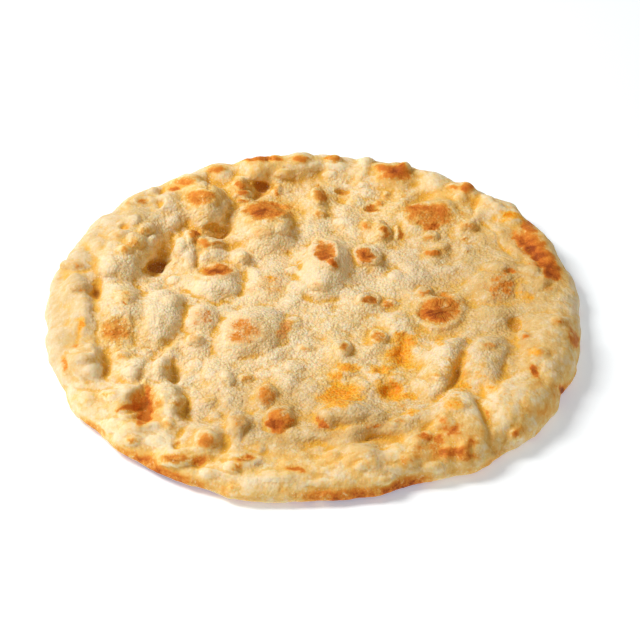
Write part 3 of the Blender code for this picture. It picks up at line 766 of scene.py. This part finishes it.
# Painted shade: tan for hollows, valleys and crevices, brown for the deepest pockets
HOLLOW_SHADE_TAN = (0.82, 0.45, 0.055, 1)
POCKET_SHADE_BROWN = (0.52, 0.17, 0.012, 1)

# The crust's colour as it browns, from raw flour at 0 to charred at 1
BROWNING = (
    (0.0, FLOURED), (0.20, DOUGH), (0.42, GOLDEN), (0.60, TOASTED), (0.80, BROWNED), (1.0, CHARRED),
)

# The table and the room
TABLE = (0.90, 0.935, 0.955, 1)
TABLE_TINT = (0.62, 0.77, 0.98, 1)
TABLE_GLOW = 0.38
TABLE_ROUGHNESS = 0.7
TABLE_SIZE = 6
ROOM_COLOUR = (1.0, 0.83, 0.58, 1)
ROOM_STRENGTH = 0.27

# Each light's name, place, size, power and colour
LIGHTS = (
    ("window", (-0.84, 0.12, 1.02), 0.55, 16.3, (1.0, 0.975, 0.945)),
    ("bounce", (0.3, -1.1, 1.1), 1.2, 1.9, (1.0, 0.94, 0.84)),
)


def deselect_all():
    bpy.ops.object.select_all(action="DESELECT")


def pick(piece):
    deselect_all()
    piece.select_set(True)
    bpy.context.view_layer.objects.active = piece


def apply_modifier(piece, kind, name, **settings):
    pick(piece)
    modifier = piece.modifiers.new(name, kind)
    for key, value in settings.items():
        setattr(modifier, key, value)
    bpy.ops.object.modifier_apply(modifier=modifier.name)


def mesh_places(mesh):
    places = np.empty(len(mesh.vertices) * 3)
    mesh.vertices.foreach_get("co", places)
    return places.reshape(-1, 3)


def mesh_normals(mesh):
    normals = np.empty(len(mesh.vertices) * 3, dtype=np.float32)
    mesh.vertex_normals.foreach_get("vector", normals)
    return normals.reshape(-1, 3)


def seen_places(places):
    """Where each point of the crust meets the sheet of the lists, in millimetres, along the camera's view."""
    lift = (places[:, 2] - SEEN_HEIGHT) / math.tan(CAMERA_HEIGHT)
    seen = np.column_stack([places[:, 0] - SEEN_ORIGIN.x, places[:, 1] + lift - SEEN_ORIGIN.y])
    return seen / MM


def dough_copy():
    """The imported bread's mesh, merged to quads, to be worked further."""
    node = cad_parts["naan"]
    pick(node)
    bpy.ops.object.duplicate()
    piece = bpy.context.view_layer.objects.active
    piece.name = "naan_crust"
    bpy.ops.object.mode_set(mode="EDIT")
    bpy.ops.mesh.select_all(action="SELECT")
    bpy.ops.mesh.remove_doubles(threshold=MERGE_DISTANCE)
    bpy.ops.mesh.tris_convert_to_quads(face_threshold=QUAD_ANGLE, shape_threshold=QUAD_ANGLE)
    bpy.ops.object.mode_set(mode="OBJECT")
    piece.data.materials.clear()
    return piece


def smooth_step(value, start, end):
    t = np.clip((value - start) / (end - start), 0.0, 1.0)
    return t * t * (3 - 2 * t)


def wandered(seen, size, strength):
    """Places moved a little sideways, so that no mark is a plain ellipse and no crease a straight line."""
    moves = np.array([noise.noise_vector(Vector((x / size, y / size, WANDER_LAYER))) for x, y in seen])
    return seen + strength * moves[:, :2]


def mark_reach(seen, mark):
    """0 at the middle of a mark, 1 on its outline, and more outside."""
    turn = math.radians(mark.turn)
    x, y = seen[:, 0] - mark.x, seen[:, 1] - mark.y
    along = (x * math.cos(turn) + y * math.sin(turn)) / mark.wide
    across = (y * math.cos(turn) - x * math.sin(turn)) / mark.tall
    return np.hypot(along, across)


def line_distance(seen, line):
    start = np.array([line.x, line.y], dtype=float)
    step = np.array([line.to_x, line.to_y], dtype=float) - start
    along = np.clip((seen - start) @ step / (step @ step), 0, 1)
    return np.linalg.norm(seen - start - np.outer(along, step), axis=1)


def domed(seen, marks):
    """How high a list of blisters stands over each place, in millimetres."""
    domes = [np.clip(1 - mark_reach(seen, mark) ** DOME_FULLNESS, 0, 1) for mark in marks]
    return sum(mark.strength * dome for mark, dome in zip(marks, domes)) * PLUMPNESS


def lip(reach):
    """1 on the lip round a fallen crown."""
    return np.exp(-((reach - LIP_REACH) / LIP_WIDTH) ** 2)


def fallen(seen, crowns):
    """How far the skin of the fallen crowns has sunk, in millimetres, and less than 0 on their lips."""
    reaches = [mark_reach(seen, crown) for crown in crowns]
    dishes = [np.clip(1 - reach ** 2, 0, 1) - LIP_SHARE * lip(reach) for reach in reaches]
    return sum(crown.strength * dish for crown, dish in zip(crowns, dishes))


def drawn(seen, lines):
    """How high or deep a list of lines is at each place, in millimetres, and least where they end."""
    deepest = np.zeros(len(seen))
    for line in lines:
        share = np.clip(1 - line_distance(seen, line) / line.reach, 0, 1)
        deepest = np.maximum(deepest, line.high * smooth_step(share, 0, 1))
    return deepest


def open_crust(places):
    """1 on the crust, falling to 0 on the flat underside."""
    return smooth_step(places[:, 2], UNDERSIDE_HEIGHT, CRUST_HEIGHT)


def toward_camera(normals):
    """1 where the crust faces the camera, falling to 0 where it faces away and the lists don't reach."""
    facing = normals @ np.array([0, -math.cos(CAMERA_HEIGHT), math.sin(CAMERA_HEIGHT)])
    return smooth_step(facing, HIDDEN_FACING, SHOWN_FACING)


def paint_group(piece, name, weights):
    """A vertex group with a weight from 0 to 1 for each vertex."""
    group = piece.vertex_groups.new(name=name)
    for index in np.nonzero(weights > LEAST_WEIGHT)[0]:
        group.add([int(index)], float(weights[index]), "REPLACE")
    return name


def push_dough(piece, name, heights):
    """Moves the crust out by the heights, in millimetres, or in where they are below 0."""
    most = np.abs(heights).max()
    weights = np.abs(heights) / most * open_crust(mesh_places(piece.data))
    weights = weights * toward_camera(mesh_normals(piece.data))
    for side, sign in (("out", 1), ("in", -1)):
        group = paint_group(piece, f"{name}_{side}", np.where(heights * sign > 0, weights, 0))
        apply_modifier(
            piece, "DISPLACE", group, strength=sign * most * MM, mid_level=0.0, direction="NORMAL",
            vertex_group=group,
        )


def work_dough(piece):
    """Raises the blisters and ridges of the lists, and presses in the dimples and creases."""
    seen = wandered(seen_places(mesh_places(piece.data)), *SHAPE_WANDER)
    push_dough(piece, "blisters", domed(seen, BLISTERS) - domed(seen, DIMPLES) - fallen(seen, CROWNS))
    seen = wandered(seen_places(mesh_places(piece.data)), *SHAPE_WANDER)
    push_dough(piece, "folds", drawn(seen, RIDGES) - drawn(seen, CREASES))


def relief_texture(name, kind, **settings):
    texture = bpy.data.textures.new(name, kind)
    for key, value in settings.items():
        setattr(texture, key, value)
    return texture


def uneven_surface(piece):
    """Knobs, lumps and pores all over the crust."""
    group = paint_group(piece, "crust", open_crust(mesh_places(piece.data)))
    knobs = relief_texture("knobs", "VORONOI", distance_metric="DISTANCE_SQUARED", noise_scale=KNOB_SIZE)
    lumps = relief_texture("lumps", "CLOUDS", noise_scale=LUMP_SIZE, noise_depth=1)
    pores = relief_texture("pores", "CLOUDS", noise_scale=PORE_SIZE, noise_depth=2)
    for texture, height in ((knobs, KNOB_HEIGHT), (lumps, LUMP_HEIGHT), (pores, PORE_HEIGHT)):
        apply_modifier(
            piece, "DISPLACE", texture.name, texture=texture, texture_coords="LOCAL", strength=height,
            mid_level=0.5, vertex_group=group,
        )


def marks_on(seen, marks, solid, faded):
    """How strongly a list of marks lies on each place, whole out to one reach and none from another."""
    strongest = np.zeros(len(seen))
    together = np.zeros(len(seen))
    for mark in marks:
        cover = mark.strength * (1 - smooth_step(mark_reach(seen, mark), solid, faded))
        strongest = np.maximum(strongest, cover)
        together += cover
    return strongest + CROWD_SHARE * np.clip(together - strongest, 0, 1)


def set_attribute(mesh, name, values):
    attribute = mesh.attributes.new(name, "FLOAT", "POINT")
    attribute.data.foreach_set("value", values.astype(np.float32))


def set_spokes(mesh, name, seen, crowns):
    """Where each place lies in its nearest crown, with the crown's number as the vector's third part."""
    reaches = np.array([mark_reach(seen, crown) for crown in crowns])
    nearest = reaches.argmin(axis=0)
    middles = np.array([(crown.x, crown.y) for crown in crowns])[nearest]
    halves = np.array([(crown.wide, crown.tall) for crown in crowns])[nearest]
    attribute = mesh.attributes.new(name, "FLOAT_VECTOR", "POINT")
    attribute.data.foreach_set("vector", np.column_stack([(seen - middles) / halves, nearest]).ravel())


def hollowness(piece, rounds):
    """How deep each place lies below the smoothed dough round it, in millimetres."""
    smooth = piece.copy()
    smooth.data = piece.data.copy()
    bpy.context.scene.collection.objects.link(smooth)
    apply_modifier(smooth, "SMOOTH", "relax", factor=SMOOTHING, iterations=rounds)
    gap = mesh_places(smooth.data) - mesh_places(piece.data)
    depth = np.sum(gap * mesh_normals(piece.data), axis=1) / MM
    bpy.data.objects.remove(smooth, do_unlink=True)
    return depth


def blotches(places):
    """Scorch marks by chance, for the side of the rim that faces away."""
    chance = np.array([noise.noise(Vector(place) / BLOTCH_SIZE) for place in places])
    return BLOTCH_STRENGTH * smooth_step(chance, *BLOTCH_EDGE)


def paint_marks(piece):
    """Writes the masks that the crust's material reads, one attribute each."""
    mesh = piece.data
    places = mesh_places(mesh)
    seen = seen_places(places)
    ragged = wandered(wandered(seen, *MARK_WANDER), *RAGGED_WANDER)
    shown = toward_camera(mesh_normals(mesh))
    crust = open_crust(places)
    hidden = (1 - shown) * crust * blotches(places)
    lips = sum(min(crown.strength, 1) * lip(mark_reach(seen, crown)) for crown in CROWNS)
    set_attribute(mesh, "scorch", marks_on(ragged, SCORCHES, *SCORCH_FADE) * shown + hidden)
    set_attribute(mesh, "toast", marks_on(ragged, SCORCHES, *TOAST_FADE) * shown + hidden)
    set_attribute(mesh, "wrinkled", marks_on(seen, CROWNS, *WRINKLE_FADE))
    set_attribute(mesh, "lip", lips)
    set_spokes(mesh, "spokes", ragged, CROWNS)
    set_attribute(mesh, "baked_and_shaded", marks_on(seen, BAKED_AND_SHADED_AREAS, *BAKED_AND_SHADED_FADE) * crust)
    set_attribute(mesh, "floury", marks_on(seen, FLOURED_AREAS, *FLOUR_FADE) * shown)
    set_attribute(mesh, "shade_dimming", marks_on(seen, SHADED_AREAS, *SHADED_FADE) * shown)
    set_attribute(mesh, "burnt_foot", marks_on(seen, FOOT_SCORCHES, *FOOT_FADE))
    set_attribute(mesh, "oil", marks_on(ragged, OIL_STAINS, *OIL_FADE) * shown)
    for name, rounds in DEPTH_ROUNDS.items():
        set_attribute(mesh, name, hollowness(piece, rounds) * crust)


class Value:
    """A shader socket that can be used in an expression as a number."""

    def __init__(self, recipe, socket):
        self.recipe = recipe
        self.socket = socket

    def maths(self, operation, *values, clamp=False):
        node = self.recipe.tree.nodes.new("ShaderNodeMath")
        node.operation = operation
        node.use_clamp = clamp
        for socket, value in zip(node.inputs, values):
            self.recipe.put(socket, value)
        return Value(self.recipe, node.outputs[0])

    def __add__(self, other):
        return self.maths("ADD", self, other)

    def __radd__(self, other):
        return self.maths("ADD", other, self)

    def __sub__(self, other):
        return self.maths("SUBTRACT", self, other)

    def __rsub__(self, other):
        return self.maths("SUBTRACT", other, self)

    def __mul__(self, other):
        return self.maths("MULTIPLY", self, other)

    def __rmul__(self, other):
        return self.maths("MULTIPLY", other, self)

    def held(self):
        """Kept between 0 and 1."""
        return self.maths("ADD", self, 0.0, clamp=True)


class Recipe:
    """Builds one material's nodes."""

    def __init__(self, name):
        self.material = bpy.data.materials.new(name)
        self.material.use_nodes = True
        self.tree = self.material.node_tree
        self.shader = self.tree.nodes["Principled BSDF"]
        self.place = self.node("ShaderNodeTexCoord", output="Object")

    def put(self, socket, value):
        if isinstance(value, Value):
            self.tree.links.new(value.socket, socket)
        else:
            socket.default_value = value

    def node(self, kind, settings=None, inputs=None, output=0, stops=None):
        node = self.tree.nodes.new(kind)
        for key, value in (settings or {}).items():
            setattr(node, key, value)
        if stops:
            ramp = node.color_ramp
            while len(ramp.elements) < len(stops):
                ramp.elements.new(1.0)
            for element, (position, colour) in zip(ramp.elements, stops):
                element.position = position
                element.color = colour
        for key, value in (inputs or {}).items():
            self.put(node.inputs[key], value)
        return Value(self, node.outputs[output])

    def finish(self, name, value):
        self.put(self.shader.inputs[name], value)

    def attribute(self, name, output="Fac"):
        return self.node("ShaderNodeAttribute", {"attribute_name": name}, output=output)

    def distance(self):
        """How far a place is from the middle of the bread, in metres."""
        return self.node("ShaderNodeVectorMath", {"operation": "LENGTH"}, {0: self.place}, "Value")

    def vector(self, operation, first, second=(0, 0, 0), scale=1.0):
        inputs = {0: first, 1: second} | ({"Scale": scale} if operation == "SCALE" else {})
        return self.node("ShaderNodeVectorMath", {"operation": operation}, inputs)

    def height(self):
        """How high a place is above the table, in metres."""
        return self.node("ShaderNodeSeparateXYZ", {}, {"Vector": self.place}, "Z")

    def noise(self, size, detail=2.0, roughness=0.5, at=None):
        """Soft noise from 0 to 1, whose blotches are about size across."""
        return self.node(
            "ShaderNodeTexNoise", {"noise_dimensions": "3D"},
            {"Vector": at or self.place, "Scale": 1 / size, "Detail": detail, "Roughness": roughness},
        )

    def strokes(self, name):
        """Noise in strokes that run out from the middle of each crown."""
        spokes = self.attribute(name, "Vector")
        flat = self.vector("MULTIPLY", spokes, (1, 1, 0))
        round_middle = self.vector("SCALE", self.vector("NORMALIZE", flat), scale=STROKE_COUNT)
        outward = self.vector("MULTIPLY", spokes, STROKE_LENGTHS)
        return self.noise(1.0, 2, 0.6, at=self.vector("ADD", round_middle, outward))

    def grains(self, size):
        """0 in the middle of each grain, rising towards its edge."""
        inputs = {"Vector": self.place, "Scale": 1 / size}
        return self.node("ShaderNodeTexVoronoi", {}, inputs, output="Distance")

    def step(self, value, start, end):
        """0 where the value is at the start, rising softly to 1 at the end."""
        return self.node(
            "ShaderNodeMapRange", {"interpolation_type": "SMOOTHSTEP"},
            {"Value": value, "From Min": start, "From Max": end},
        )

    def mix(self, first, second, share):
        """The first colour, covered by a share of the second."""
        return self.node("ShaderNodeMix", {"data_type": "RGBA"}, {0: share, 6: first, 7: second}, 2)


def crust_material():
    recipe = Recipe("naan_crust")
    scorch = recipe.attribute("scorch")
    toast = recipe.attribute("toast")
    baked_and_shaded = recipe.attribute("baked_and_shaded")
    burnt_foot = recipe.attribute("burnt_foot")
    oil = recipe.attribute("oil")
    valley = recipe.attribute("valley")
    hollow = recipe.attribute("hollow")
    crevice = recipe.attribute("crevice")
    floury = recipe.attribute("floury")
    shade_dimming = recipe.attribute("shade_dimming")
    wrinkled = recipe.attribute("wrinkled")
    crown_lip = recipe.attribute("lip")
    height = recipe.height()

    # Each noise is centred on 0, so what it adds in one place it takes away in another
    strokes = recipe.strokes("spokes") - 0.5
    broad = recipe.noise(BROAD_SIZE, 2) - 0.5
    patchy = recipe.noise(PATCH_SIZE, 3) - 0.5
    pebbly = recipe.noise(PEBBLE_SIZE, 2) - 0.5
    fine = recipe.noise(FINE_SIZE, 3, 0.65) - 0.5
    grit = recipe.noise(GRIT_SIZE, 2) - 0.5
    grains = recipe.grains(GRAIN_SIZE)

    # Scorch marks have ragged edges, and inside them paler and darker specks and strokes
    covered = recipe.step(scorch + fine * 0.55 + patchy * 0.85, *SCORCH_EDGE)
    mottled = fine * 0.32 + patchy * 0.60 + grit * 0.10 + strokes * wrinkled * 0.42
    bare = fine * 0.18 + patchy * 0.34 + pebbly * 0.26
    heat = covered * (scorch * 0.44 + 0.10 + mottled) + (1 - covered) * bare
    heat = heat + toast * 0.20 + baked_and_shaded * (0.30 + patchy * 0.8) + broad * 0.22 + 0.07 - crown_lip * 0.10
    # Painted highlight: bulges a little paler than the dough round them
    heat = heat - recipe.step(hollow, *BULGE_HIGHLIGHT_EDGE) * 0.05

    # The underside and the foot of the edge lay on the hot stone
    foot = recipe.step(height + patchy * 0.0030 + fine * 0.0016, *FOOT_EDGE)
    burnt = recipe.step(height + patchy * 0.0060 + fine * 0.0030, *BURNT_EDGE) * burnt_foot
    heat = heat + foot * (0.42 + patchy * 1.1 + broad * 0.5) + burnt * (0.64 + fine * 0.8 + patchy * 0.9)
    brown = recipe.node("ShaderNodeValToRGB", {}, {"Fac": heat.held()}, stops=BROWNING)
    cool = 1 - recipe.step(heat, *WARM_EDGE)

    # Painted shade: places the lamps light too brightly are greyed, hollows and creases are tan, and the
    # deepest pockets brown
    shaded_tan = recipe.step(valley, *VALLEY_EDGE) * 0.40 + recipe.step(hollow, *HOLLOW_EDGE) * 0.60
    shaded_tan = (shaded_tan + recipe.step(crevice, *CREVICE_EDGE) * 0.40 + fine * 0.12).held()
    pocket_shade = recipe.step(valley + hollow * 1.5, *POCKET_SHADE_EDGE)
    colour = recipe.mix(brown, SHADE_GREY, shade_dimming * cool * (0.55 + patchy * 0.6))
    colour = recipe.mix(colour, HOLLOW_SHADE_TAN, shaded_tan * cool)
    colour = recipe.mix(colour, POCKET_SHADE_BROWN, pocket_shade * POCKET_SHADE_COVER)

    # Oil tints the dough yellow, and orange where it has soaked in
    oily = recipe.step(oil + patchy * 0.9 + fine * 0.6, *OIL_EDGE)
    soaked = recipe.step(oil + patchy * 1.1 + fine * 2.2 + grit * 0.9, *SOAKED_EDGE) * oily
    colour = recipe.mix(colour, OIL_YELLOW, oily * OIL_COVER)
    colour = recipe.mix(colour, OILED, soaked * SOAKED_COVER)

    # Flour clings to the tops of the grains, and the gaps between them are darker
    grainy = 1 - recipe.step(recipe.distance() + broad * 0.02, RIM_INNER, RIM_OUTER) * 0.55
    grainy = grainy * (1 - recipe.step(hollow, *HIGH_BULGE_EDGE) * 0.30)
    flour = recipe.step(grains + fine * 0.5 + patchy * 0.6 + pebbly * 0.3, *FLOUR_EDGE) * cool * (1 - oily)
    gaps = recipe.step(grains + grit * 0.4 + pebbly * 0.3, *GAP_EDGE) * cool * grainy
    thick = floury * cool * (1 - shaded_tan) * (0.60 + patchy * 1.2).held()
    colour = recipe.mix(colour, GRAIN_GAP, gaps * GAP_COVER)
    colour = recipe.mix(colour, FLOURED, flour * (0.30 + grainy * 0.34) * (1 - shade_dimming * 0.35))
    colour = recipe.mix(colour, FLOURED, thick)

    relief = (pebbly * 0.42 + fine * 0.28 + grit * 0.08 - grains * 0.24) * grainy + strokes * wrinkled * 0.4
    bump = {"Height": relief, "Strength": 1.0, "Distance": RELIEF_DEPTH}
    recipe.finish("Base Color", colour)
    recipe.finish("Roughness", (SKIN_ROUGHNESS + 0.3 * fine - OIL_SHINE * oily).held())
    recipe.finish("Normal", recipe.node("ShaderNodeBump", {}, bump, "Normal"))
    for name, value in (
        ("Specular IOR Level", SKIN_SPECULAR), ("Subsurface Weight", GLOW),
        ("Subsurface Radius", GLOW_RADIUS), ("Subsurface Scale", GLOW_DEPTH),
    ):
        recipe.shader.inputs[name].default_value = value
    return recipe.material


def table_material():
    recipe = Recipe("white_table")
    for name, value in (
        ("Base Color", TABLE), ("Roughness", TABLE_ROUGHNESS), ("Specular IOR Level", 0.0),
        ("Emission Color", TABLE_TINT), ("Emission Strength", TABLE_GLOW),
    ):
        recipe.shader.inputs[name].default_value = value
    return recipe.material


def make_bread():
    bread = dough_copy()
    apply_modifier(bread, "SUBSURF", "finer", levels=FINER_LEVELS, render_levels=FINER_LEVELS)
    work_dough(bread)
    uneven_surface(bread)
    paint_marks(bread)
    bread.vertex_groups.clear()
    bread.data.materials.append(crust_material())
    bread.data.shade_smooth()
    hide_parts("naan")
    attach(bread, "root")


def make_table():
    deselect_all()
    bpy.ops.mesh.primitive_plane_add(size=TABLE_SIZE, location=(0, 0, 0))
    table = bpy.context.view_layer.objects.active
    table.name = "table"
    table.data.materials.append(table_material())


def aim_at(thing, target):
    thing.rotation_euler = (Vector(target) - thing.location).to_track_quat("-Z", "Y").to_euler()


def add_light(name, place, size, power, colour):
    light = bpy.data.lights.new(name, "AREA")
    light.size = size
    light.energy = power
    light.color = colour
    lamp = bpy.data.objects.new(name, light)
    lamp.location = place
    aim_at(lamp, (0, 0, 0))
    bpy.context.scene.collection.objects.link(lamp)


def light_room():
    for light in LIGHTS:
        add_light(*light)
    world = bpy.data.worlds.new("room")
    world.use_nodes = True
    background = world.node_tree.nodes["Background"]
    background.inputs["Color"].default_value = ROOM_COLOUR
    background.inputs["Strength"].default_value = ROOM_STRENGTH
    bpy.context.scene.world = world


def add_camera():
    camera = bpy.data.cameras.new("camera")
    camera.lens = CAMERA_LENS
    camera.sensor_width = CAMERA_SENSOR
    holder = bpy.data.objects.new("camera", camera)
    look = Vector((0, math.cos(CAMERA_HEIGHT), -math.sin(CAMERA_HEIGHT)))
    holder.location = CAMERA_AIM - look * CAMERA_DISTANCE
    holder.rotation_euler = (math.pi / 2 - CAMERA_HEIGHT, 0, 0)
    bpy.context.scene.collection.objects.link(holder)
    bpy.context.scene.camera = holder


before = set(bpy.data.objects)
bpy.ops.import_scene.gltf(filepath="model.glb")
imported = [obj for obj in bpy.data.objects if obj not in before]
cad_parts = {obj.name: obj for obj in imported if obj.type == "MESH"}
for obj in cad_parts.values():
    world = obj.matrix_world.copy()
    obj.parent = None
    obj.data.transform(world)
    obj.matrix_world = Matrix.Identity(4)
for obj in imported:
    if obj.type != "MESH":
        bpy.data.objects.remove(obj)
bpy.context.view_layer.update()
noise.seed_set(WANDER_SEED)
bpy.context.scene.view_settings.view_transform = "Standard"
make_bread()
make_table()
light_room()
add_camera()
